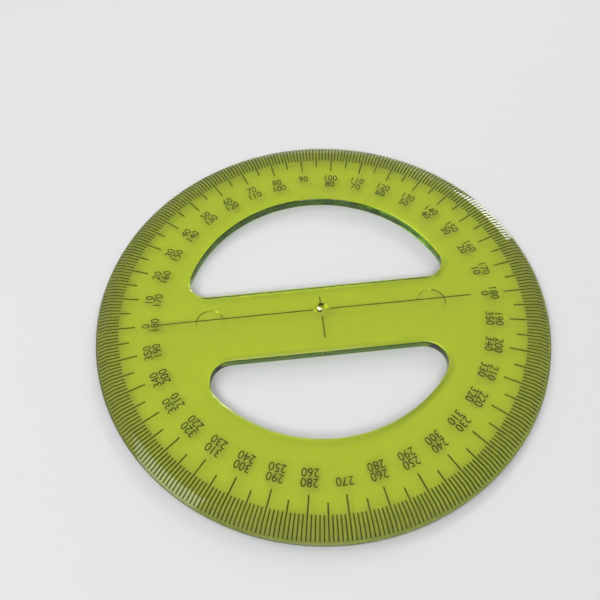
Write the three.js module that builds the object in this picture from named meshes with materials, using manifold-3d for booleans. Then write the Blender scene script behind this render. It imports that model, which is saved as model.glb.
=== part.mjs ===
// Full circle protractor: a clear moulded disc with a bevelled rim, two D-shaped openings
// on either side of a cross bar, and a degree scale printed on its upper face.
// Millimetres, +Z up. The origin is the centre of the scale, on the underside of the disc.
// X runs along the base line towards 0 degrees, Y towards 90 degrees.

import * as THREE from "three";
import { mergeVertices } from "three/addons/utils/BufferGeometryUtils.js";
import Module from "manifold-3d";

const wasm = await Module();
wasm.setup();

// Disc
const discRadius = 55;
const discThickness = 2.5;
const rimHeight = 1.3;
const bevelWidth = 2.8;

// Openings: both arcs lie on one circle, whose centre is a little above the base line
const ringWidth = 21.2;
const openingCentreY = 1.1;
const barAboveBaseLine = 7;
const barBelowBaseLine = 11.6;
const upperCornerRadius = 4.5;
const lowerCornerRadius = 5;

// Recess at the centre of the scale, with the stub of the moulding gate inside it
const recessRadius = 1.8;
const recessFloorRadius = 1.25;
const recessDepth = 0.9;
const gateStubBaseRadius = 0.6;
const gateStubTopRadius = 0.4;
const gateStubHeight = 0.75;

// Round marks that the ejector pins leave in the underside
const ejectorMarkRadius = 3.6;
const ejectorMarkDepth = 0.15;
const ejectorMarkSpacing = 54.6;

// Printed scale
const inkThickness = 0.1;
const scaleMargin = 0.6;
const degreeLineLength = 5.2;
const fiveDegreeLineLength = 7.7;
const tenDegreeLineLength = 9.2;
const degreeLineWidth = 0.3;
const tenDegreeLineWidth = 0.32;
const lineRoot = 0.3;

// Base line and centre line
const baseLineWidth = 0.26;
const leftNumeralBand = 5.7;
const rightNumeralBand = 8.2;
const centreLineAbove = 3.6;
const centreLineBelow = 8;
const recessInkGap = 0.15;

// Counts and cutting allowance
const degreesInCircle = 360;
const longStep = 10;
const middleStep = 5;
const arcSteps = 36;
const cornerSteps = 7;
const roundSegments = 28;
const cutOverrun = 1;
const joinTolerance = 0.0004;

// Places worked out from the sizes above
const openingRadius = discRadius - ringWidth;
const bevelStart = discRadius - bevelWidth;
const scaleOuterRadius = discRadius - scaleMargin;
const scaleInnerRadius = scaleOuterRadius - tenDegreeLineLength;
const bevelSlope = (discThickness - rimHeight) / bevelWidth;
const scaleOuterHeight = discThickness - (scaleOuterRadius - bevelStart) * bevelSlope;
const facetAngle = (2 * Math.PI) / degreesInCircle;
const blankRadiusFactorShare = 1 / Math.cos(facetAngle / 2);

const greenPlastic = new THREE.MeshStandardMaterial({
  color: 0x9aa82a,
  roughness: 0.08,
  metalness: 0,
  transparent: true,
  opacity: 0.6,
});
const printedInk = new THREE.MeshStandardMaterial({
  color: 0x2b1d0c,
  roughness: 0.6,
  metalness: 0,
});

// Turn a closed geometry into a solid for cutting and joining
function toSolid(geometry) {
  const bare = geometry.clone();
  bare.deleteAttribute("normal");
  bare.deleteAttribute("uv");
  const merged = mergeVertices(bare);
  const corners = merged.index.array;
  const kept = [];
  for (let i = 0; i < corners.length; i += 3) {
    const [a, b, c] = [corners[i], corners[i + 1], corners[i + 2]];
    if (a !== b && b !== c && c !== a) {
      kept.push(a, b, c);
    }
  }
  return new wasm.Manifold(
    new wasm.Mesh({
      numProp: 3,
      vertProperties: new Float32Array(merged.attributes.position.array),
      triVerts: new Uint32Array(kept),
      tolerance: joinTolerance,
    }),
  );
}

function toGeometry(solid) {
  const mesh = solid.getMesh();
  const geometry = new THREE.BufferGeometry();
  geometry.setAttribute("position", new THREE.BufferAttribute(mesh.vertProperties, 3));
  geometry.setIndex(new THREE.BufferAttribute(mesh.triVerts, 1));
  geometry.computeVertexNormals();
  return geometry;
}

// Revolve a profile of [radius, height] points about +Z, with its flats centred on the degree lines
function revolve(profile, segments) {
  const points = profile.map(([radius, height]) => new THREE.Vector2(radius, height));
  const geometry = new THREE.LatheGeometry(points, segments, Math.PI / segments, 2 * Math.PI);
  geometry.rotateX(Math.PI / 2);
  return geometry;
}

// Blank of the disc: one flat of the bevel and of the rim for each degree
function discBlank() {
  const rim = discRadius * blankRadiusFactorShare;
  const shoulder = bevelStart * blankRadiusFactorShare;
  return revolve(
    [
      [0, 0],
      [rim, 0],
      [rim, rimHeight],
      [shoulder, discThickness],
      [0, discThickness],
    ],
    degreesInCircle,
  );
}

// Points along an arc about (centreX, centreY), from one angle to another
function arcPoints(centreX, centreY, radius, fromAngle, toAngle, steps) {
  const points = [];
  for (let step = 0; step <= steps; step += 1) {
    const angle = fromAngle + ((toAngle - fromAngle) * step) / steps;
    points.push(
      new THREE.Vector2(centreX + radius * Math.cos(angle), centreY + radius * Math.sin(angle)),
    );
  }
  return points;
}

// D-shaped opening above the base line: a straight edge on the bar, an arc and two round corners
function openingCutter(straightEdge, arcCentre, cornerRadius) {
  const cornerY = straightEdge + cornerRadius;
  const cornerReach = openingRadius - cornerRadius;
  const cornerX = Math.sqrt(cornerReach ** 2 - (cornerY - arcCentre) ** 2);
  const tangent = Math.atan2(cornerY - arcCentre, cornerX);
  const down = -Math.PI / 2;
  const right = arcPoints(cornerX, cornerY, cornerRadius, down, tangent, cornerSteps);
  const far = arcPoints(0, arcCentre, openingRadius, tangent, Math.PI - tangent, arcSteps);
  const left = arcPoints(-cornerX, cornerY, cornerRadius, Math.PI - tangent, Math.PI - down, cornerSteps);
  const outline = new THREE.Shape([...right, ...far.slice(1, -1), ...left]);
  const geometry = new THREE.ExtrudeGeometry(outline, {
    depth: discThickness + 2 * cutOverrun,
    bevelEnabled: false,
  });
  geometry.translate(0, 0, -cutOverrun);
  return geometry;
}

// Ring-shaped recess that leaves the gate's stub standing at the centre of the scale
function recessCutter() {
  const floor = discThickness - recessDepth;
  const top = discThickness + cutOverrun;
  return revolve(
    [
      [0, floor + gateStubHeight],
      [gateStubTopRadius, floor + gateStubHeight],
      [gateStubBaseRadius, floor],
      [recessFloorRadius, floor],
      [recessRadius, discThickness],
      [recessRadius, top],
      [0, top],
    ],
    roundSegments,
  );
}

function ejectorMarkCutter(side) {
  const depth = ejectorMarkDepth + cutOverrun;
  const geometry = new THREE.CylinderGeometry(ejectorMarkRadius, ejectorMarkRadius, depth, roundSegments);
  geometry.rotateX(Math.PI / 2);
  geometry.translate((side * ejectorMarkSpacing) / 2, 0, ejectorMarkDepth - depth / 2);
  return geometry;
}

// One line of the scale along +X: its top follows the flat of the disc, then the slope of the bevel.
// The underside is given from the inner end to the outer end, as points in radius and height.
function scaleLine(length, width, underside) {
  const tilt = Math.atan(bevelSlope);
  const mitre = inkThickness * Math.tan(tilt / 2);
  const outline = new THREE.Shape();
  outline.moveTo(scaleOuterRadius - length, discThickness);
  for (const [radius, height] of underside) {
    outline.lineTo(radius, height);
  }
  outline.lineTo(scaleOuterRadius, scaleOuterHeight + inkThickness / Math.cos(tilt));
  outline.lineTo(bevelStart + mitre, discThickness + inkThickness);
  outline.lineTo(scaleOuterRadius - length, discThickness + inkThickness);
  const geometry = new THREE.ExtrudeGeometry(outline, { depth: width, bevelEnabled: false });
  geometry.translate(0, 0, -width / 2);
  geometry.rotateX(Math.PI / 2);
  return geometry;
}

// A line that is one with the disc: its underside runs straight, inside the plastic
function raisedLine(length) {
  return scaleLine(length, degreeLineWidth, [[scaleOuterRadius, scaleOuterHeight - lineRoot]]);
}

// A line that is a solid of its own: its underside lies on the flat and on the bevel
function inkLine(length) {
  return scaleLine(length, tenDegreeLineWidth, [
    [bevelStart, discThickness],
    [scaleOuterRadius, scaleOuterHeight],
  ]);
}

function makeDisc() {
  const lowerOpening = openingCutter(barBelowBaseLine, -openingCentreY, lowerCornerRadius);
  lowerOpening.rotateZ(Math.PI);
  const cutters = [
    openingCutter(barAboveBaseLine, openingCentreY, upperCornerRadius),
    lowerOpening,
    recessCutter(),
    ejectorMarkCutter(-1),
    ejectorMarkCutter(1),
  ];
  let body = toSolid(discBlank());
  for (const cutter of cutters) {
    body = body.subtract(toSolid(cutter));
  }
  for (let degree = 0; degree < degreesInCircle; degree += 1) {
    if (degree % longStep === 0) {
      continue;
    }
    const length = degree % middleStep === 0 ? fiveDegreeLineLength : degreeLineLength;
    const line = raisedLine(length);
    line.rotateZ(degree * facetAngle);
    body = body.add(toSolid(line));
  }
  const mesh = new THREE.Mesh(toGeometry(body), greenPlastic);
  mesh.name = "disc";
  return mesh;
}

function makeTenDegreeLine(degree) {
  const mesh = new THREE.Mesh(inkLine(tenDegreeLineLength), printedInk);
  mesh.rotation.z = degree * facetAngle;
  mesh.name = `degree_line_${String(degree).padStart(3, "0")}`;
  return mesh;
}

// Straight printed stroke from one point to another on the flat top
function makeStroke(name, fromX, fromY, toX, toY) {
  const length = Math.hypot(toX - fromX, toY - fromY);
  const mesh = new THREE.Mesh(new THREE.BoxGeometry(length, baseLineWidth, inkThickness), printedInk);
  mesh.position.set((fromX + toX) / 2, (fromY + toY) / 2, discThickness + inkThickness / 2);
  mesh.rotation.z = Math.atan2(toY - fromY, toX - fromX);
  mesh.name = name;
  return mesh;
}

const protractor = new THREE.Group();
protractor.name = "protractor";
protractor.add(makeDisc());

const degreeScale = new THREE.Group();
for (let degree = 0; degree < degreesInCircle; degree += longStep) {
  degreeScale.add(makeTenDegreeLine(degree));
}
protractor.add(degreeScale);

const inkStart = recessRadius + recessInkGap;
const baseLines = new THREE.Group();
baseLines.add(
  makeStroke("base_line_left", -(scaleInnerRadius - leftNumeralBand), 0, -inkStart, 0),
  makeStroke("base_line_right", inkStart, 0, scaleInnerRadius - rightNumeralBand, 0),
  makeStroke("centre_line_above", 0, inkStart, 0, centreLineAbove),
  makeStroke("centre_line_below", 0, -centreLineBelow, 0, -inkStart),
);
protractor.add(baseLines);

export default protractor;
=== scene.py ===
"""Full circle protractor: the dressed model, its studio and its camera.

A clear tinted disc with a bevelled rim carries a printed degree scale, two rows of
numerals, a base line and a centre line. Sizes are given in millimetres, in the frame of
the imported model: X runs along the base line, Y towards 90 degrees, Z up from the floor.
"""

from __future__ import annotations

import logging
import math
from collections.abc import Callable, Sequence
from dataclasses import dataclass, field
from enum import Enum

import bpy
from mathutils import Matrix, Quaternion, Vector


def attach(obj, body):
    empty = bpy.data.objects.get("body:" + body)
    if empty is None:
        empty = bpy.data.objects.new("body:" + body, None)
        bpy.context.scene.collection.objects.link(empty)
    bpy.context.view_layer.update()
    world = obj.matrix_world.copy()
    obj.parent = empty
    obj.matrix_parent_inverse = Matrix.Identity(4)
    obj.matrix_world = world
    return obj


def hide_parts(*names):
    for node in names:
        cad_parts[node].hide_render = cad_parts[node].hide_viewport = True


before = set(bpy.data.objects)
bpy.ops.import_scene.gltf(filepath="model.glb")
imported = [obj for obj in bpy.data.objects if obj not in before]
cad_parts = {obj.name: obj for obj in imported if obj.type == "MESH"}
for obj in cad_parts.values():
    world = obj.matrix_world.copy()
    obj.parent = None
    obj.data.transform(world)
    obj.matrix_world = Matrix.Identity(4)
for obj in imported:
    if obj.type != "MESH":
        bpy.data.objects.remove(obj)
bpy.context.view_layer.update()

MM = 0.001
CIRCLE_DEGREES = 360
QUARTER_TURN = 90

# Places this close, in millimetres, count as the same
TOUCH = 0.01

# A direction is upright if its Z is past the first share, and level if it is under the second
UPRIGHT = 0.9
LEVEL = 0.1

Colour = tuple[float, float, float]
Place = tuple[float, float, float]
Span = tuple[float, float]
Choice = Callable[[Vector, Vector], bool]

log = logging.getLogger("protractor")


# Directions and turns


def faces_up(_place: Vector, normal: Vector) -> bool:
    """Tell whether a face looks up."""
    return normal.z > UPRIGHT


def faces_down(_place: Vector, normal: Vector) -> bool:
    """Tell whether a face looks down."""
    return normal.z < -UPRIGHT


def runs_upright(_place: Vector, way: Vector) -> bool:
    """Tell whether an edge runs up or down."""
    return abs(way.z) > UPRIGHT


def about_z(angle: float) -> Matrix:
    """Return a turn about Z by an angle in degrees."""
    return Matrix.Rotation(math.radians(angle), 4, "Z")


# Modelling bench


class MeshPart(Enum):
    """Parts of a mesh that can be picked."""

    FACE = "FACE"
    EDGE = "EDGE"
    CORNER = "VERT"


@dataclass(frozen=True)
class Rounding:
    """How edges are rounded.

    It has a width and a number of flats across it. Edges flatter than the least angle,
    in degrees, are left. Where edges are short, Blender makes the width smaller.
    """

    width: float
    steps: int
    least_angle: float = 0


class Bench:
    """Blender's modelling operators, run on one piece at a time, in millimetres."""

    @staticmethod
    def clear() -> None:
        """Leave edit mode and deselect everything."""
        active = bpy.context.view_layer.objects.active
        if active is not None and active.mode != "OBJECT":
            Bench.leave()
        bpy.ops.object.select_all(action="DESELECT")

    @staticmethod
    def take(piece: bpy.types.Object) -> None:
        """Make one piece the only selected piece and the active one.

        Args:
            piece: The piece to work on.
        """
        Bench.clear()
        piece.select_set(True)
        bpy.context.view_layer.objects.active = piece

    @staticmethod
    def enter(piece: bpy.types.Object, part: MeshPart, whole: bool) -> None:
        """Enter edit mode on a piece.

        Args:
            piece: The piece to work on.
            part: The parts that are selected from then on.
            whole: True to select the whole piece, False to select nothing.
        """
        Bench.take(piece)
        bpy.ops.object.mode_set(mode="EDIT")
        bpy.ops.mesh.select_mode(type=part.value)
        bpy.ops.mesh.select_all(action="SELECT" if whole else "DESELECT")

    @staticmethod
    def leave() -> None:
        """Leave edit mode."""
        bpy.ops.object.mode_set(mode="OBJECT")

    @staticmethod
    def settle(piece: bpy.types.Object) -> None:
        """Put a piece's place, turn and scale into its mesh."""
        Bench.take(piece)
        bpy.ops.object.transform_apply(location=True, rotation=True, scale=True)

    @staticmethod
    def cylinder(
        name: str, radius: float, bottom: float, top: float, sides: int, centre: Place = (0, 0, 0)
    ) -> bpy.types.Object:
        """Add an upright cylinder.

        Args:
            name: Name of the new piece.
            radius: Radius of its corners.
            bottom: Height of its lower face.
            top: Height of its upper face.
            sides: Number of flats round it.
            centre: Centre of its base circle.

        Returns:
            The cylinder, with its place in its mesh.
        """
        Bench.clear()
        bpy.ops.mesh.primitive_cylinder_add(
            vertices=sides,
            radius=radius * MM,
            depth=(top - bottom) * MM,
            location=(centre[0] * MM, centre[1] * MM, (bottom + top) / 2 * MM),
        )
        piece = bpy.context.object
        piece.name = name
        Bench.settle(piece)
        return piece

    @staticmethod
    def block(name: str, lowest: Place, highest: Place) -> bpy.types.Object:
        """Add a box.

        Args:
            name: Name of the new piece.
            lowest: The corner with the lowest coordinates.
            highest: The corner with the highest coordinates.

        Returns:
            The box, with its place in its mesh.
        """
        Bench.clear()
        bpy.ops.mesh.primitive_cube_add(
            size=1,
            location=[(low + high) / 2 * MM for low, high in zip(lowest, highest)],
            scale=[(high - low) * MM for low, high in zip(lowest, highest)],
        )
        piece = bpy.context.object
        piece.name = name
        Bench.settle(piece)
        return piece

    @staticmethod
    def pick(piece: bpy.types.Object, part: MeshPart, wanted: Choice) -> None:
        """Enter edit mode with some parts of a piece selected.

        Args:
            piece: The piece to work on.
            part: The kind of part to pick.
            wanted: Takes a part's middle in millimetres and its direction, which is a
                face's or corner's normal or the way an edge runs.
        """
        Bench.enter(piece, part, whole=False)
        Bench.leave()
        mesh = piece.data
        corners = mesh.vertices
        if part is MeshPart.FACE:
            for face in mesh.polygons:
                face.select = wanted(face.center / MM, face.normal)
        elif part is MeshPart.EDGE:
            for edge in mesh.edges:
                start, end = (corners[i].co for i in edge.vertices)
                edge.select = wanted((start + end) / 2 / MM, (end - start).normalized())
        else:
            for corner in corners:
                corner.select = wanted(corner.co / MM, corner.normal)
        bpy.ops.object.mode_set(mode="EDIT")

    @staticmethod
    def extrude(piece: bpy.types.Object, wanted: Choice, rise: float, scale: float) -> None:
        """Extrude faces along Z, then scale them about the Z axis.

        Args:
            piece: The piece to work on.
            wanted: Picks the faces, as in pick.
            rise: How far the faces move up.
            scale: Scale of the moved faces in X and Y.
        """
        Bench.pick(piece, MeshPart.FACE, wanted)
        bpy.ops.mesh.extrude_region_move(TRANSFORM_OT_translate={"value": (0, 0, rise * MM)})
        bpy.ops.transform.resize(value=(scale, scale, 1), center_override=(0, 0, 0))
        Bench.leave()

    @staticmethod
    def bisect(
        piece: bpy.types.Object, point: Place, normal: Place, remove_behind: bool = False
    ) -> None:
        """Cut a piece along a plane.

        Args:
            piece: The piece to cut.
            point: A point on the plane.
            normal: The way the plane faces.
            remove_behind: True to take away what lies behind the plane.
        """
        Bench.enter(piece, MeshPart.CORNER, whole=True)
        bpy.ops.mesh.bisect(
            plane_co=Vector(point) * MM,
            plane_no=normal,
            clear_inner=remove_behind,
            use_fill=remove_behind,
        )
        Bench.leave()

    @staticmethod
    def join(name: str, pieces: Sequence[bpy.types.Object]) -> bpy.types.Object:
        """Join several pieces into one.

        Args:
            name: Name of the joined piece.
            pieces: The pieces.

        Returns:
            The joined piece.
        """
        Bench.take(pieces[0])
        for piece in pieces:
            piece.select_set(True)
        bpy.ops.object.join()
        joined = bpy.context.object
        joined.name = name
        return joined

    @staticmethod
    def wrap(piece: bpy.types.Object) -> None:
        """Replace a piece by the tightest convex skin round it.

        Args:
            piece: The piece to work on.
        """
        Bench.enter(piece, MeshPart.CORNER, whole=True)
        bpy.ops.mesh.convex_hull()
        Bench.leave()

    @staticmethod
    def apply(piece: bpy.types.Object, kind: str, **settings: object) -> None:
        """Add a modifier and apply it.

        Args:
            piece: The piece to work on.
            kind: Blender's name of the modifier type.
            **settings: The modifier's settings.
        """
        Bench.take(piece)
        modifier = piece.modifiers.new(kind.lower(), kind)
        for name, value in settings.items():
            setattr(modifier, name, value)
        bpy.ops.object.modifier_apply(modifier=modifier.name)

    @staticmethod
    def cut(piece: bpy.types.Object, cutter: bpy.types.Object) -> None:
        """Cut one solid out of another, and put the cutter away."""
        Bench.apply(piece, "BOOLEAN", operation="DIFFERENCE", solver="EXACT", object=cutter)
        bpy.data.objects.remove(cutter, do_unlink=True)

    @staticmethod
    def round_picked(piece: bpy.types.Object, wanted: Choice, rounding: Rounding) -> None:
        """Round some sharp edges.

        Args:
            piece: The piece to work on.
            wanted: Picks the edges, as in pick.
            rounding: How they are rounded.
        """
        Bench.enter(piece, MeshPart.EDGE, whole=False)
        bpy.ops.mesh.edges_select_sharp(sharpness=math.radians(rounding.least_angle))
        Bench.leave()
        sharp = iter([edge.select for edge in piece.data.edges])
        Bench.pick(piece, MeshPart.EDGE, lambda place, way: next(sharp) and wanted(place, way))
        bpy.ops.mesh.bevel(
            offset=rounding.width * MM,
            segments=rounding.steps,
            affect="EDGES",
            clamp_overlap=True,
        )
        Bench.leave()

    @staticmethod
    def close(piece: bpy.types.Object, gap: float) -> None:
        """Merge corners that nearly touch and turn all faces outwards.

        Args:
            piece: The piece to work on.
            gap: Corners nearer than this are merged.
        """
        Bench.enter(piece, MeshPart.CORNER, whole=True)
        bpy.ops.mesh.remove_doubles(threshold=gap * MM)
        bpy.ops.mesh.normals_make_consistent(inside=False)
        Bench.leave()

    @staticmethod
    def smooth(piece: bpy.types.Object, angle: float) -> None:
        """Shade smooth across edges flatter than an angle, given in degrees."""
        Bench.take(piece)
        bpy.ops.object.shade_smooth_by_angle(angle=math.radians(angle))

    @staticmethod
    def stamp(pattern: bpy.types.Object, place: Matrix) -> bpy.types.Object:
        """Copy a pattern and put the copy in its place.

        Args:
            pattern: The piece to copy.
            place: Where the copy goes.

        Returns:
            The copy, which has a mesh of its own.
        """
        copy = pattern.copy()
        copy.data = pattern.data.copy()
        copy.data.transform(place)
        bpy.context.collection.objects.link(copy)
        return copy


# Shader maths


class Field:
    """A value that varies over a surface, written with Python's operators."""

    def __init__(self, recipe: Recipe, socket: bpy.types.NodeSocket) -> None:
        """Wrap one output socket of a recipe's node."""
        self.recipe = recipe
        self.socket = socket

    def _maths(self, operation: str, first: object, second: object) -> Field:
        """Add a Math node for two values."""
        return self.recipe.node("ShaderNodeMath", {0: first, 1: second}, operation=operation)

    def __add__(self, other: object) -> Field:
        """Add a value."""
        return self._maths("ADD", self, other)

    def __radd__(self, other: object) -> Field:
        """Add to a value."""
        return self._maths("ADD", other, self)

    def __sub__(self, other: object) -> Field:
        """Subtract a value."""
        return self._maths("SUBTRACT", self, other)

    def __rsub__(self, other: object) -> Field:
        """Subtract from a value."""
        return self._maths("SUBTRACT", other, self)

    def __mul__(self, other: object) -> Field:
        """Multiply by a value."""
        return self._maths("MULTIPLY", self, other)

    def __rmul__(self, other: object) -> Field:
        """Multiply a value."""
        return self._maths("MULTIPLY", other, self)

    def __or__(self, other: object) -> Field:
        """Take the larger of two values."""
        return self._maths("MAXIMUM", self, other)

    def __ror__(self, other: object) -> Field:
        """Take the larger of two values."""
        return self._maths("MAXIMUM", other, self)


class Recipe:
    """The node tree of one material or of the world."""

    def __init__(self, owner: bpy.types.Material | bpy.types.World) -> None:
        """Start with an empty tree.

        Args:
            owner: The material or the world.
        """
        owner.use_nodes = True
        self.tree = owner.node_tree
        self.tree.nodes.clear()

    def node(
        self,
        kind: str,
        inputs: dict[str | int, object] | None = None,
        output: str | int = 0,
        **settings: object,
    ) -> Field:
        """Add a node.

        Args:
            kind: Blender's name of the node type.
            inputs: Value or field for each input socket, by its name or number.
            output: The output socket to return, by its name or number.
            **settings: The node's settings, set first. stops are a ramp's stops, as
                pairs of a position and a grey value.

        Returns:
            The node's output.
        """
        made = self.tree.nodes.new(kind)
        for name, value in settings.items():
            if name == "stops":
                self._set_stops(made.color_ramp, value)
            else:
                setattr(made, name, value)
        for name, value in (inputs or {}).items():
            if isinstance(value, Field):
                self.tree.links.new(value.socket, made.inputs[name])
            else:
                made.inputs[name].default_value = value
        return Field(self, made.outputs[output]) if made.outputs else Field(self, None)

    @staticmethod
    def _set_stops(ramp: bpy.types.ColorRamp, stops: Sequence[tuple[float, float]]) -> None:
        """Give a ramp its stops.

        Args:
            ramp: The ramp of a new node.
            stops: Pairs of a position and a grey value.
        """
        while len(ramp.elements) < len(stops):
            ramp.elements.new(1)
        for element, (position, grey) in zip(ramp.elements, stops):
            element.position = position
            element.color = (grey, grey, grey, 1)

    def place(self) -> Field:
        """Return the point on the piece, in metres."""
        return self.node("ShaderNodeTexCoord", output="Object")

    def turned(self, place: Field, angle: float, stretch: Place) -> Field:
        """Turn a point about Z, then scale it.

        Args:
            place: The point.
            angle: The turn, in degrees.
            stretch: Scale along each axis.

        Returns:
            The new point.
        """
        turned = self.node(
            "ShaderNodeVectorRotate",
            {"Vector": place, "Angle": math.radians(angle)},
            rotation_type="Z_AXIS",
        )
        return self.node("ShaderNodeVectorMath", {0: turned, 1: stretch}, operation="MULTIPLY")

    def noise(self, place: Field, scale: float, detail: float, roughness: float = 0.5) -> Field:
        """Return a soft noise from 0 to 1 at a scale per metre."""
        return self.node(
            "ShaderNodeTexNoise",
            {"Vector": place, "Scale": scale, "Detail": detail, "Roughness": roughness},
        )

    def ramp(self, value: Field, span: Span) -> Field:
        """Return 0 where a value is under the span, 1 where it is past it."""
        start, end = span
        return self.node("ShaderNodeValToRGB", {"Fac": value}, stops=((start, 0), (end, 1)))

    def blend(self, share: Field, first: Colour, second: Colour) -> Field:
        """Mix two colours."""
        return self.node(
            "ShaderNodeMix",
            {"Factor": share, "A": (*first, 1), "B": (*second, 1)},
            output="Result",
            data_type="RGBA",
        )

    def relief(self, height: Field, depth: float) -> Field:
        """Turn a height from 0 to 1 into a normal, for a depth in millimetres."""
        return self.node(
            "ShaderNodeBump", {"Height": height, "Strength": 1, "Distance": depth * MM}
        )

    def finish(self, kind: str, **shaders: Field) -> None:
        """Add the output node and connect its Surface or Volume."""
        self.node(kind, shaders)


# Finishes


class Slot(Enum):
    """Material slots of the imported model."""

    PLASTIC = "clear_plastic"
    INK = "printed_ink"


@dataclass(frozen=True)
class ClearPlastic:
    """Tinted clear plastic, with faint moulding waves and hairline scratches.

    Light is tinted by the length of its way through the plastic, so the flats look
    yellow and the walls a deep green.
    """

    absorption_colour: Colour = (0.91, 0.946, 0.3)
    absorption_per_metre: float = 1000
    clear_colour: Colour = (1, 1, 1)
    scratch_colour: Colour = (0.9, 0.92, 0.88)
    refraction: float = 1.58
    roughness: float = 0.02
    wave_depth: float = 0.008
    wave_scale: float = 55
    scratch_depth: float = 0.003
    scratch_angles: tuple[float, ...] = (17, 74, 128)
    scratch_stretch: Place = (2600, 70, 300)
    scratch_span: Span = (0.68, 0.76)
    wear_scale: float = 90
    wear_span: Span = (0.42, 0.62)

    def material(self) -> bpy.types.Material:
        """Make the material.

        Returns:
            A refracting material with an absorbing volume.
        """
        made = bpy.data.materials.new("tinted_clear_plastic")
        recipe = Recipe(made)
        place = recipe.place()
        scratches = self._scratches(recipe, place)
        waves = recipe.noise(place, self.wave_scale, detail=1)
        relief = waves * self.wave_depth - scratches * self.scratch_depth
        plastic = recipe.node(
            "ShaderNodeBsdfPrincipled",
            {
                "Base Color": recipe.blend(scratches, self.clear_colour, self.scratch_colour),
                "Roughness": self.roughness,
                "IOR": self.refraction,
                "Transmission Weight": 1,
                "Normal": recipe.relief(relief, 1),
            },
        )
        tint = recipe.node(
            "ShaderNodeVolumeAbsorption",
            {"Color": (*self.absorption_colour, 1), "Density": self.absorption_per_metre},
        )
        recipe.finish("ShaderNodeOutputMaterial", Surface=plastic, Volume=tint)
        return made

    def _scratches(self, recipe: Recipe, place: Field) -> Field:
        """Draw hairline scratches, which run in a few directions over worn places.

        Args:
            recipe: The material's recipe.
            place: The point on the piece.

        Returns:
            1 on a scratch and 0 elsewhere.
        """
        worn = recipe.ramp(recipe.noise(place, self.wear_scale, detail=3), self.wear_span)
        lines = None
        for angle in self.scratch_angles:
            streaks = recipe.noise(recipe.turned(place, angle, self.scratch_stretch), 1, detail=1)
            line = recipe.ramp(streaks, self.scratch_span)
            lines = line if lines is None else lines | line
        return lines * worn


@dataclass(frozen=True)
class PrintedInk:
    """Dark brown-black screen ink, a little uneven where it lies thin."""

    thick_colour: Colour = (0.016, 0.009, 0.003)
    thin_colour: Colour = (0.05, 0.03, 0.008)
    thin_span: Span = (0.4, 0.62)
    patch_scale: float = 160
    patch_share: float = 0.6
    grain_scale: float = 3500
    grain_harshness: float = 0.6
    grain_share: float = 0.4
    grain_depth: float = 0.004
    least_roughness: float = 0.5
    grain_roughness: float = 0.25
    gloss: float = 0.35

    def material(self) -> bpy.types.Material:
        """Make the material.

        Returns:
            A dark, slightly uneven material.
        """
        made = bpy.data.materials.new("printed_scale_ink")
        recipe = Recipe(made)
        place = recipe.place()
        patches = recipe.noise(place, self.patch_scale, detail=3)
        grain = recipe.noise(place, self.grain_scale, detail=2, roughness=self.grain_harshness)
        thin = recipe.ramp(patches * self.patch_share + grain * self.grain_share, self.thin_span)
        ink = recipe.node(
            "ShaderNodeBsdfPrincipled",
            {
                "Base Color": recipe.blend(thin, self.thick_colour, self.thin_colour),
                "Roughness": self.least_roughness + grain * self.grain_roughness,
                "Specular IOR Level": self.gloss,
                "Normal": recipe.relief(grain, self.grain_depth),
            },
        )
        recipe.finish("ShaderNodeOutputMaterial", Surface=ink)
        return made


@dataclass(frozen=True)
class FloorPaper:
    """Plain pale studio paper."""

    colour: Colour = (0.83, 0.83, 0.82)
    shade: Colour = (0.81, 0.81, 0.8)
    cloud_scale: float = 6
    roughness: float = 0.9
    gloss: float = 0.1

    def material(self) -> bpy.types.Material:
        """Make the material.

        Returns:
            A pale matt material.
        """
        made = bpy.data.materials.new("pale_floor_paper")
        recipe = Recipe(made)
        cloud = recipe.noise(recipe.place(), self.cloud_scale, detail=2)
        paper = recipe.node(
            "ShaderNodeBsdfPrincipled",
            {
                "Base Color": recipe.blend(cloud, self.colour, self.shade),
                "Roughness": self.roughness,
                "Specular IOR Level": self.gloss,
            },
        )
        recipe.finish("ShaderNodeOutputMaterial", Surface=paper)
        return made


@dataclass
class Workshop:
    """Dresses finished pieces and hands them to the frame."""

    plastic: bpy.types.Material = field(default_factory=lambda: ClearPlastic().material())
    ink: bpy.types.Material = field(default_factory=lambda: PrintedInk().material())

    def deliver(self, piece: bpy.types.Object, slot: Slot, replaced: Sequence[str] = ()) -> None:
        """Give a piece its finish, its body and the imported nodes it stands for.

        Args:
            piece: The finished piece.
            slot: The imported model's material slot.
            replaced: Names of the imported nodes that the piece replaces.
        """
        piece.data.materials.clear()
        piece.data.materials.append(self.plastic if slot is Slot.PLASTIC else self.ink)
        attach(piece, "root")
        if replaced:
            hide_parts(*replaced)
        log.info("%s: %d faces, %s", piece.name, len(piece.data.polygons), slot.value)


# Protractor


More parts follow.
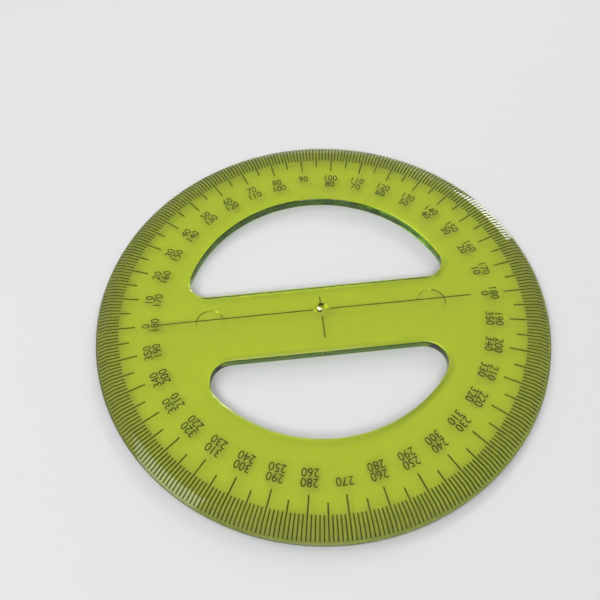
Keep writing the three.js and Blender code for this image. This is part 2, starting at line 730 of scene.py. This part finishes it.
@dataclass
class Opening:
    """One of the two D-shaped openings: an arc, a straight edge and two round corners."""

    side: int
    straight_edge: float
    corner_radius: float
    arc_radius: float
    arc_centre: float = 1.1
    arc_sides: int = 540
    corner_sides: int = 96

    def cutter(self, bottom: float, top: float) -> bpy.types.Object:
        """Make the solid that cuts this opening between two heights.

        Args:
            bottom: Height of its lower end.
            top: Height of its upper end.

        Returns:
            The cutter.
        """
        corner_y = self.side * (self.straight_edge + self.corner_radius)
        reach = self.arc_radius - self.corner_radius
        corner_x = math.sqrt(reach**2 - (corner_y - self.arc_centre) ** 2)
        tangent_y = self.arc_centre + (corner_y - self.arc_centre) * self.arc_radius / reach
        centre = (0, self.arc_centre, 0)
        arc = Bench.cylinder("arc", self.arc_radius, bottom, top, self.arc_sides, centre)
        Bench.bisect(arc, (0, tangent_y, 0), (0, self.side, 0), remove_behind=True)
        pieces = [arc]
        for x in (-corner_x, corner_x):
            centre = (x, corner_y, 0)
            pieces.append(
                Bench.cylinder("corner", self.corner_radius, bottom, top, self.corner_sides, centre)
            )
        cutter = Bench.join("opening_cutter", pieces)
        Bench.wrap(cutter)
        return cutter


@dataclass
class ClearDisc:
    """The moulded disc with its bevel, openings, centre recess and ejector marks."""

    radius: float = 55
    thickness: float = 2.5
    rim_height: float = 1.3
    bevel_width: float = 2.8
    sides: int = 720
    shoulder_rounding: Rounding = Rounding(0.08, 2, least_angle=15)
    rim_rounding: Rounding = Rounding(0.24, 3, least_angle=50)

    ring_width: float = 21.2
    bar_above_base_line: float = 7
    bar_below_base_line: float = 11.6
    upper_corner_radius: float = 4.5
    lower_corner_radius: float = 5
    opening_margin: float = 2
    opening_top_rounding: Rounding = Rounding(0.75, 6, least_angle=60)
    opening_bottom_rounding: Rounding = Rounding(0.25, 3, least_angle=60)

    recess_radius: float = 1.8
    recess_floor_radius: float = 1.25
    recess_depth: float = 0.9
    recess_sides: int = 96
    recess_rounding: Rounding = Rounding(0.15, 3, least_angle=20)
    stub_base_radius: float = 0.6
    stub_top_radius: float = 0.45
    stub_height: float = 0.65
    stub_slant: float = 21.4
    stub_direction: float = 47.2
    stub_offset: Place = (-0.35, 0.35, 0)

    mark_radius: float = 3.6
    mark_floor_radius: float = 3.3
    mark_depth: float = 0.2
    mark_spacing: float = 54.6
    mark_sides: int = 128
    mark_rounding: Rounding = Rounding(0.06, 2)

    overrun: float = 1
    merge_gap: float = 0.0005
    smooth_angle: float = 32

    @property
    def bevel_start(self) -> float:
        """Radius at which the flat top ends and the bevel starts."""
        return self.radius - self.bevel_width

    @property
    def arc_radius(self) -> float:
        """Radius of the openings' arcs."""
        return self.radius - self.ring_width

    @property
    def recess_floor(self) -> float:
        """Height of the recess's floor."""
        return self.thickness - self.recess_depth

    @property
    def stub_top(self) -> float:
        """Height of the middle of the stub's top."""
        return self.recess_floor + self.stub_height

    def height(self, radius: float) -> float:
        """Return the height of the upper face at a radius."""
        slope = (self.thickness - self.rim_height) / self.bevel_width
        return self.thickness - max(radius - self.bevel_start, 0) * slope

    def build(self) -> bpy.types.Object:
        """Model the disc.

        Returns:
            The disc, closed and shaded smooth.
        """
        disc = Bench.cylinder("clear_disc", self.radius, 0, self.rim_height, self.sides)
        rise = self.thickness - self.rim_height
        Bench.extrude(disc, faces_up, rise, self.bevel_start / self.radius)
        Bench.round_picked(disc, self._on_top, self.shoulder_rounding)
        Bench.round_picked(disc, self._under_bevel, self.rim_rounding)
        for opening in self._openings():
            Bench.cut(disc, opening.cutter(-self.overrun, self.thickness + self.overrun))
        Bench.round_picked(disc, self._on_opening_top, self.opening_top_rounding)
        Bench.round_picked(disc, self._on_opening_bottom, self.opening_bottom_rounding)
        Bench.cut(disc, self._recess_cutter())
        for side in (-1, 1):
            Bench.cut(disc, self._mark_cutter(side))
        Bench.round_picked(disc, self._on_recess, self.recess_rounding)
        Bench.round_picked(disc, self._on_mark, self.mark_rounding)
        Bench.close(disc, self.merge_gap)
        Bench.smooth(disc, self.smooth_angle)
        Bench.apply(disc, "WEIGHTED_NORMAL", keep_sharp=True)
        return disc

    def _openings(self) -> tuple[Opening, Opening]:
        """Return the upper and the lower opening."""
        return (
            Opening(1, self.bar_above_base_line, self.upper_corner_radius, self.arc_radius),
            Opening(-1, self.bar_below_base_line, self.lower_corner_radius, self.arc_radius),
        )

    def _recess_cutter(self) -> bpy.types.Object:
        """Make the cutter of the centre recess, which leaves the gate's stub standing.

        Returns:
            The cutter, in its place.
        """
        cutter = Bench.cylinder(
            "recess_cutter",
            self.recess_radius,
            self.thickness,
            self.thickness + self.overrun,
            self.recess_sides,
        )
        floor_taper = self.recess_floor_radius / self.recess_radius
        Bench.extrude(cutter, faces_down, -self.recess_depth, floor_taper)
        Bench.pick(cutter, MeshPart.FACE, faces_down)
        bpy.ops.mesh.inset(thickness=(self.recess_floor_radius - self.stub_base_radius) * MM)
        Bench.leave()
        stub_taper = self.stub_top_radius / self.stub_base_radius
        Bench.extrude(cutter, self._on_stub_face, self.stub_height, stub_taper)
        Bench.pick(cutter, MeshPart.CORNER, self._on_stub_top)
        bpy.ops.transform.rotate(
            value=-math.radians(self.stub_slant),
            orient_axis="Y",
            center_override=(0, 0, self.stub_top * MM),
        )
        Bench.leave()
        cutter.data.transform(about_z(self.stub_direction))
        Bench.pick(cutter, MeshPart.CORNER, self._on_stub)
        bpy.ops.transform.translate(value=Vector(self.stub_offset) * MM)
        Bench.leave()
        return cutter

    def _mark_cutter(self, side: int) -> bpy.types.Object:
        """Make the cutter of one round ejector mark, a shallow dish in the underside.

        Args:
            side: 1 for the mark on the right, -1 for the one on the left.

        Returns:
            The cutter, in its place.
        """
        cutter = Bench.cylinder("mark_cutter", self.mark_radius, -self.overrun, 0, self.mark_sides)
        taper = self.mark_floor_radius / self.mark_radius
        Bench.extrude(cutter, faces_up, self.mark_depth, taper)
        cutter.data.transform(Matrix.Translation((side * self.mark_spacing / 2 * MM, 0, 0)))
        return cutter

    def _on_top(self, place: Vector, _way: Vector) -> bool:
        """Tell whether an edge lies in the flat top."""
        return place.z > self.thickness - TOUCH

    def _under_bevel(self, place: Vector, _way: Vector) -> bool:
        """Tell whether an edge lies on the rim or in the underside."""
        return place.z < self.rim_height + TOUCH

    def _on_opening_top(self, place: Vector, way: Vector) -> bool:
        """Tell whether an edge lies on the upper rim of an opening."""
        inside_ring = place.xy.length < self.arc_radius + self.opening_margin
        return inside_ring and self._on_top(place, way)

    def _on_opening_bottom(self, place: Vector, _way: Vector) -> bool:
        """Tell whether an edge lies on the lower rim of an opening."""
        inside_ring = place.xy.length < self.arc_radius + self.opening_margin
        return inside_ring and place.z < TOUCH

    def _on_stub_face(self, place: Vector, normal: Vector) -> bool:
        """Tell whether a face of the recess cutter becomes the stub's top."""
        return faces_down(place, normal) and place.xy.length < self.stub_base_radius / 2

    def _on_stub_top(self, place: Vector, _normal: Vector) -> bool:
        """Tell whether a corner of the recess cutter lies on the stub's top."""
        in_stub = place.xy.length < self.stub_base_radius
        return in_stub and abs(place.z - self.stub_top) < TOUCH

    def _on_stub(self, place: Vector, _normal: Vector) -> bool:
        """Tell whether a corner of the recess cutter belongs to the stub."""
        return place.xy.length < self.stub_base_radius + TOUCH

    def _on_recess(self, place: Vector, way: Vector) -> bool:
        """Tell whether an edge lies on a rim of the recess or of the stub."""
        near = place.xy.length < self.recess_radius + TOUCH
        return near and place.z > self.recess_floor - TOUCH and abs(way.z) < LEVEL

    def _on_mark(self, place: Vector, way: Vector) -> bool:
        """Tell whether an edge lies on a rim of an ejector mark.

        Args:
            place: The middle of the edge.
            way: The way the edge runs.

        Returns:
            True if it does.
        """
        across = Vector((abs(place.x) - self.mark_spacing / 2, place.y)).length
        at_rim = self.mark_floor_radius - TOUCH < across < self.mark_radius + TOUCH
        return at_rim and place.z < self.mark_depth + TOUCH and abs(way.z) < LEVEL


@dataclass
class Print:
    """What all printed pieces share: how the ink lies on the disc, and its corners."""

    disc: ClearDisc
    film: float = 0.03
    bite: float = 0.01
    corner_rounding: Rounding = Rounding(0.05, 2)

    @property
    def bottom(self) -> float:
        """Height of the ink's underside on the flat, a hair inside the plastic."""
        return self.disc.thickness - self.bite

    @property
    def top(self) -> float:
        """Height of the ink's upper face on the flat."""
        return self.disc.thickness + self.film


class LineKind(Enum):
    """Lines of the degree scale: their step in degrees and their length."""

    ONE_DEGREE = (1, 5.2)
    FIVE_DEGREES = (5, 7.7)
    TEN_DEGREES = (10, 9.2)

    @property
    def step(self) -> int:
        """Degrees from one line to the next."""
        return self.value[0]

    @property
    def length(self) -> float:
        """Length of a line, measured along the radius."""
        return self.value[1]


@dataclass
class DegreeScale(Print):
    """The 360 lines of the scale, which run over the flat and down the bevel."""

    margin: float = 0.6
    width: float = 0.3

    @property
    def outer_radius(self) -> float:
        """Radius of the lines' outer ends."""
        return self.disc.radius - self.margin

    def line(self, kind: LineKind) -> bpy.types.Object:
        """Model one line along +X.

        Args:
            kind: The kind of line.

        Returns:
            The line, bent where the bevel starts.
        """
        pattern = Bench.block(
            "line_pattern",
            (self.outer_radius - kind.length, -self.width / 2, self.bottom),
            (self.outer_radius, self.width / 2, self.top),
        )
        Bench.bisect(pattern, (self.disc.bevel_start, 0, 0), (1, 0, 0))
        Bench.pick(pattern, MeshPart.CORNER, self._at_outer_end)
        drop = self.disc.height(self.outer_radius) - self.disc.thickness
        bpy.ops.transform.translate(value=(0, 0, drop * MM))
        Bench.leave()
        Bench.round_picked(pattern, runs_upright, self.corner_rounding)
        return pattern

    def build(self, kind: LineKind) -> bpy.types.Object:
        """Make all lines of one kind, leaving the places of the longer kinds free.

        Args:
            kind: The kind of line.

        Returns:
            The lines as one piece.
        """
        longer = [other.step for other in LineKind if other.step > kind.step]
        degrees = [
            degree
            for degree in range(0, CIRCLE_DEGREES, kind.step)
            if all(degree % step for step in longer)
        ]
        pattern = self.line(kind)
        lines = [Bench.stamp(pattern, about_z(degree)) for degree in degrees]
        bpy.data.objects.remove(pattern, do_unlink=True)
        return Bench.join(f"{kind.name.lower()}_lines", lines)

    def _at_outer_end(self, place: Vector, _normal: Vector) -> bool:
        """Tell whether a corner lies at a line's outer end."""
        return place.x > self.outer_radius - TOUCH


@dataclass
class GuideLines(Print):
    """The base line and the centre line, broken at the centre recess."""

    width: float = 0.26
    recess_gap: float = 0.15
    base_left: float = 39.5
    base_right: float = 37
    centre_above: float = 3.6
    centre_below: float = 8

    def build(self, name: str, turn: float, behind: float, ahead: float) -> bpy.types.Object:
        """Model a line through the centre, in two strokes.

        Args:
            name: Name of the piece.
            turn: Direction of the line, in degrees from +X.
            behind: Reach of the stroke behind the centre.
            ahead: Reach of the stroke ahead of the centre.

        Returns:
            Both strokes as one piece.
        """
        start = self.disc.recess_radius + self.recess_gap
        strokes = []
        for near, far in ((-behind, -start), (start, ahead)):
            stroke = Bench.block(
                "stroke", (near, -self.width / 2, self.bottom), (far, self.width / 2, self.top)
            )
            Bench.round_picked(stroke, runs_upright, self.corner_rounding)
            stroke.data.transform(about_z(turn))
            strokes.append(stroke)
        return Bench.join(name, strokes)


class Counting(Enum):
    """Which way a row of numerals counts, and where its zero lies."""

    COUNTER_CLOCKWISE = "from the right"
    CLOCKWISE = "from the left"

    def degree_of(self, value: int) -> int:
        """Find where a number stands.

        Args:
            value: The number.

        Returns:
            Its angle, in degrees from +X.
        """
        if self is Counting.COUNTER_CLOCKWISE:
            return value
        return (CIRCLE_DEGREES // 2 - value) % CIRCLE_DEGREES


@dataclass
class Numerals(Print):
    """Both rows of numerals. Their tops point outwards."""

    step: int = 10
    height: float = 1.95
    narrowing: float = 0.95
    curve_steps: int = 4
    merge_gap: float = 0.002
    outer_row_radius: float = 42.7
    inner_row_radius: float = 40.5
    shared_row_radius: float = 42.5

    def number(self, value: int) -> bpy.types.Object:
        """Model one number about the origin, with its top towards +Y.

        Args:
            value: The number.

        Returns:
            The number as a solid.
        """
        Bench.clear()
        bpy.ops.object.text_add()
        text = bpy.context.object
        text.data.body = str(value)
        text.data.align_x = "CENTER"
        text.data.resolution_u = self.curve_steps
        # One unit high and one unit thick, before it is scaled
        text.data.size = 1
        text.data.extrude = 0.5
        bpy.ops.object.convert(target="MESH")
        piece = bpy.context.object
        low = min(corner.co.y for corner in piece.data.vertices)
        high = max(corner.co.y for corner in piece.data.vertices)
        scale = self.height / (high - low) * MM
        thickness = (self.top - self.bottom) * MM
        piece.data.transform(Matrix.Translation((0, -(low + high) / 2, 0)))
        piece.data.transform(Matrix.Diagonal((scale * self.narrowing, scale, thickness, 1)))
        piece.data.transform(Matrix.Translation((0, 0, (self.top + self.bottom) / 2 * MM)))
        Bench.close(piece, self.merge_gap)
        return piece

    def build(self) -> list[bpy.types.Object]:
        """Make both rows.

        Returns:
            The outer row, which counts clockwise, and the inner row.
        """
        outer, inner = [], []
        for value in range(0, CIRCLE_DEGREES, self.step):
            pattern = self.number(value)
            clockwise = Counting.CLOCKWISE.degree_of(value)
            counter = Counting.COUNTER_CLOCKWISE.degree_of(value)
            if clockwise == counter:
                outer.append(Bench.stamp(pattern, self._place(counter, self.shared_row_radius)))
            else:
                outer.append(Bench.stamp(pattern, self._place(clockwise, self.outer_row_radius)))
                inner.append(Bench.stamp(pattern, self._place(counter, self.inner_row_radius)))
            bpy.data.objects.remove(pattern, do_unlink=True)
        return [Bench.join("outer_numerals", outer), Bench.join("inner_numerals", inner)]

    @staticmethod
    def _place(degree: int, radius: float) -> Matrix:
        """Return the place of a number at an angle and a radius."""
        return about_z(degree - QUARTER_TURN) @ Matrix.Translation((0, radius * MM, 0))


@dataclass
class Protractor:
    """The whole part, built from its sub-assemblies."""

    workshop: Workshop = field(default_factory=Workshop)
    disc: ClearDisc = field(default_factory=ClearDisc)

    def build(self) -> None:
        """Build and dress every piece."""
        self.workshop.deliver(self.disc.build(), Slot.PLASTIC, ["disc"])
        scale = DegreeScale(self.disc)
        for kind in LineKind:
            nodes = []
            if kind is LineKind.TEN_DEGREES:
                nodes = [f"degree_line_{d:03d}" for d in range(0, CIRCLE_DEGREES, kind.step)]
            self.workshop.deliver(scale.build(kind), Slot.INK, nodes)
        lines = GuideLines(self.disc)
        base = lines.build("base_line", 0, lines.base_left, lines.base_right)
        self.workshop.deliver(base, Slot.INK, ["base_line_left", "base_line_right"])
        centre = lines.build("centre_line", QUARTER_TURN, lines.centre_below, lines.centre_above)
        self.workshop.deliver(centre, Slot.INK, ["centre_line_above", "centre_line_below"])
        for row in Numerals(self.disc).build():
            self.workshop.deliver(row, Slot.INK)


# Studio


@dataclass
class Lamp:
    """One soft lamp: a rectangle of light that faces the part.

    Its direction is an azimuth and an elevation in degrees. Its distance and its size are
    in metres. A beam of less than 180 degrees keeps a low lamp off the floor beside it. A
    lamp that isn't seen through the plastic makes no flare inside the disc.
    """

    name: str
    direction: tuple[float, float]
    distance: float
    size: tuple[float, float]
    watts: float
    beam: float = 180
    seen_through_plastic: bool = True

    def build(self) -> None:
        """Hang the lamp."""
        azimuth, elevation = (math.radians(angle) for angle in self.direction)
        way = Vector(
            (
                math.cos(elevation) * math.cos(azimuth),
                math.cos(elevation) * math.sin(azimuth),
                math.sin(elevation),
            )
        )
        light = bpy.data.lights.new(self.name, "AREA")
        light.shape = "RECTANGLE"
        light.size, light.size_y = self.size
        light.energy = self.watts
        light.spread = math.radians(self.beam)
        lamp = bpy.data.objects.new(self.name, light)
        lamp.visible_transmission = self.seen_through_plastic
        lamp.location = way * self.distance
        lamp.rotation_mode = "QUATERNION"
        lamp.rotation_quaternion = (-way).to_track_quat("-Z", "Y")
        bpy.context.scene.collection.objects.link(lamp)


@dataclass
class Studio:
    """Floor, lamps, sky and camera."""

    floor_side: float = 8
    floor_gap: float = 0.02
    window_beam: float = 60
    sky_colour: Colour = (0.95, 0.97, 1)
    sky_strength: float = 0.5
    camera_place: Place = (-10.35, -83.60, 141.37)
    camera_aim: Place = (-4.889, 3.234, 2.5)
    camera_roll: float = -2.52
    camera_reach: Span = (0.001, 20)
    lens: float = 39.96

    def build(self) -> None:
        """Set up the studio."""
        self._lay_floor()
        self._hang_lamps()
        self._light_sky()
        self._place_camera()
        self._set_render()

    def _lay_floor(self) -> None:
        """Lay the pale floor under the part."""
        Bench.clear()
        height = -self.floor_gap * MM
        bpy.ops.mesh.primitive_plane_add(size=self.floor_side, location=(0, 0, height))
        floor = bpy.context.object
        floor.name = "studio_floor"
        Bench.settle(floor)
        floor.data.materials.append(FloorPaper().material())

    def _hang_lamps(self) -> None:
        """Hang the windows, which give the glare and the glints, and the softboxes."""
        lamps = (
            Lamp("low_window", (49, 7.5), 0.8, (0.22, 0.1), watts=0.037, beam=self.window_beam),
            Lamp("tall_window", (60, 25), 0.81, (0.3, 0.45), watts=0.105, beam=self.window_beam),
            Lamp(
                "strip_window",
                (66, 21),
                0.8,
                (0.08, 0.2),
                watts=0.16,
                beam=self.window_beam,
                seen_through_plastic=False,
            ),
            Lamp("front_softbox", (-100, 42), 0.9, (0.5, 0.2), watts=2),
            Lamp("left_softbox", (195, 50), 0.8, (0.35, 0.35), watts=1),
            Lamp("back_panel", (142, 36), 0.8, (0.22, 0.2), watts=0.75),
        )
        for lamp in lamps:
            lamp.build()

    def _light_sky(self) -> None:
        """Light the sky evenly."""
        world = bpy.data.worlds.new("pale_sky")
        bpy.context.scene.world = world
        recipe = Recipe(world)
        sky = recipe.node(
            "ShaderNodeBackground",
            {"Color": (*self.sky_colour, 1), "Strength": self.sky_strength},
        )
        recipe.finish("ShaderNodeOutputWorld", Surface=sky)

    def _place_camera(self) -> None:
        """Set the camera at the viewing angle of the photograph."""
        data = bpy.data.cameras.new("camera")
        data.lens = self.lens
        data.clip_start, data.clip_end = self.camera_reach
        camera = bpy.data.objects.new("camera", data)
        place, aim = Vector(self.camera_place) * MM, Vector(self.camera_aim) * MM
        camera.location = place
        camera.rotation_mode = "QUATERNION"
        roll = Quaternion((0, 0, 1), math.radians(self.camera_roll))
        camera.rotation_quaternion = (aim - place).to_track_quat("-Z", "Y") @ roll
        bpy.context.scene.collection.objects.link(camera)
        bpy.context.scene.camera = camera

    @staticmethod
    def _set_render() -> None:
        """Set the view, and let light be reflected inside the plastic as often as it needs."""
        scene = bpy.context.scene
        scene.view_settings.view_transform = "Standard"
        scene.cycles.glossy_bounces = scene.cycles.max_bounces
        scene.cycles.blur_glossy = 0


def main() -> None:
    """Build the protractor and its studio."""
    logging.basicConfig(level=logging.INFO, format="%(name)s: %(message)s")
    Protractor().build()
    Studio().build()


if __name__ == "__main__":
    main()
